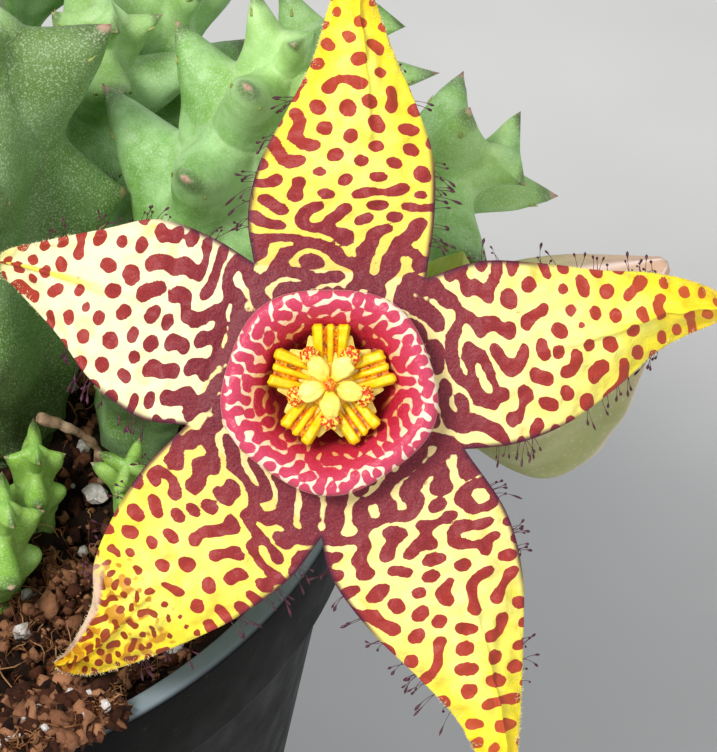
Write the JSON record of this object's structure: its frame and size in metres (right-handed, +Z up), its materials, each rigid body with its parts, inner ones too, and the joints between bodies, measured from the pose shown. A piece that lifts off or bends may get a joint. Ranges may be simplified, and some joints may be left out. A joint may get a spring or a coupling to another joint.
{
  "type": "potted orbea",
  "caption": "Clump of toothed succulent stems in a black nursery pot, with a spotted yellow and maroon star flower and pale buds leaning out over the rim.",
  "frame": {"origin": "centre of the flat underside of the pot, on the surface that it stands on", "axes": "+Z up along the pot's axis, -Y towards the camera of the picture, +X to the side that the flower leans out to"},
  "size_m": [0.1632, 0.125, 0.1657],
  "materials": {
    "pot_plastic": "satin",
    "soil": "matte",
    "stem": "satin",
    "young_stem": "satin",
    "bud": "satin",
    "petal": "satin",
    "corona": "satin"
  },
  "bodies": {
    "root": {"pot": "pot_plastic", "soil": "soil", "stem_front_left": "stem", "stem_middle": "stem", "stem_right": "stem", "stem_back_left": "stem", "stem_back": "stem", "stem_far_right": "stem", "stem_centre": "stem", "stem_left": "stem", "stem_rear": "stem", "stem_rear_left": "stem", "stem_far_left": "stem", "stem_side": "stem", "stem_near": "stem", "shoot_low_left": "young_stem", "shoot_lower": "young_stem", "shoot_middle": "young_stem", "bud_large": "bud", "bud_small": "young_stem", "flower_stalk": "young_stem", "corolla": "petal", "corona": "corona"}
  },
  "joints": []
}
